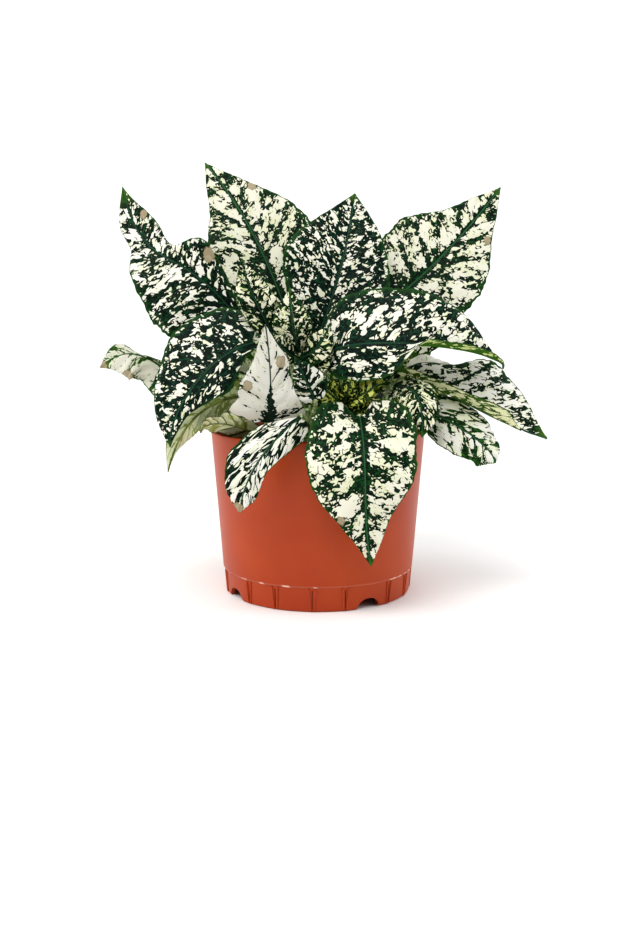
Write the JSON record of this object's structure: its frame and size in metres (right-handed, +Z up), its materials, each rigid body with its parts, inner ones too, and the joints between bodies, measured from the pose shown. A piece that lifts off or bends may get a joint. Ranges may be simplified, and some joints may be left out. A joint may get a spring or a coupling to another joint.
{
  "type": "potted polka dot plant",
  "caption": "Bushy young polka dot plant with pointed dark green leaves splashed with cream, on short upright stems in a small tapered brick-red plastic nursery pot filled with soil.",
  "frame": {"origin": "on the pot's axis at the level of the foot ring that it stands on, which is also the middle of the bounding box's underside to within a millimetre", "axes": "+Z up along the pot's axis, -Y towards the front as pictured, +X to the right as seen from the front"},
  "size_m": [0.209, 0.1466, 0.213],
  "materials": {
    "pot": "satin",
    "soil": "matte",
    "stem": "satin",
    "leaf_dark": "satin",
    "leaf_speckled": "satin",
    "leaf_cream": "satin",
    "leaf_pale": "satin",
    "leaf_underside": "satin"
  },
  "bodies": {
    "root": {"pot": "pot", "soil": "soil", "stem_middle": "stem", "stem_inner": "stem", "stem_left": "stem", "stem_right": "stem", "stem_front": "stem", "stem_front_left": "stem", "stem_front_right": "stem", "stem_back_left": "stem", "stem_back_right": "stem", "leaf_upper_left": "leaf_speckled", "leaf_upper_back": "leaf_cream", "leaf_upper_middle": "leaf_speckled", "leaf_upper_right": "leaf_cream", "leaf_broad_right": "leaf_speckled", "leaf_broad_left": "leaf_dark", "leaf_front": "leaf_cream", "leaf_front_left": "leaf_pale", "leaf_pale_upright": "leaf_pale", "leaf_pale_side": "leaf_pale", "leaf_right_small": "leaf_speckled", "leaf_right_long": "leaf_cream", "leaf_right_low": "leaf_cream", "leaf_right_behind": "leaf_speckled", "leaf_left_long": "leaf_pale", "leaf_left_behind": "leaf_speckled", "leaf_left_under": "leaf_underside", "leaf_rim_left": "leaf_underside", "leaf_back_high_left": "leaf_speckled", "leaf_back_high_right": "leaf_cream", "leaf_back_left": "leaf_cream", "leaf_back_right": "leaf_speckled", "leaf_back_middle": "leaf_speckled", "leaf_back_low_middle": "leaf_cream", "leaf_back_low_left": "leaf_speckled", "leaf_back_low_right": "leaf_cream", "leaf_side_left": "leaf_cream", "leaf_side_right": "leaf_speckled", "leaf_side_high_left": "leaf_speckled", "leaf_side_high_right": "leaf_cream", "leaf_side_low_left": "leaf_speckled", "leaf_side_low_right": "leaf_speckled", "leaf_back_inner_left": "leaf_cream", "leaf_back_inner_right": "leaf_cream", "leaf_inner_left": "leaf_cream", "leaf_inner_right": "leaf_speckled", "leaf_inner_front_left": "leaf_speckled", "leaf_inner_front_right": "leaf_speckled", "leaf_young_left": "leaf_speckled"}
  },
  "joints": []
}
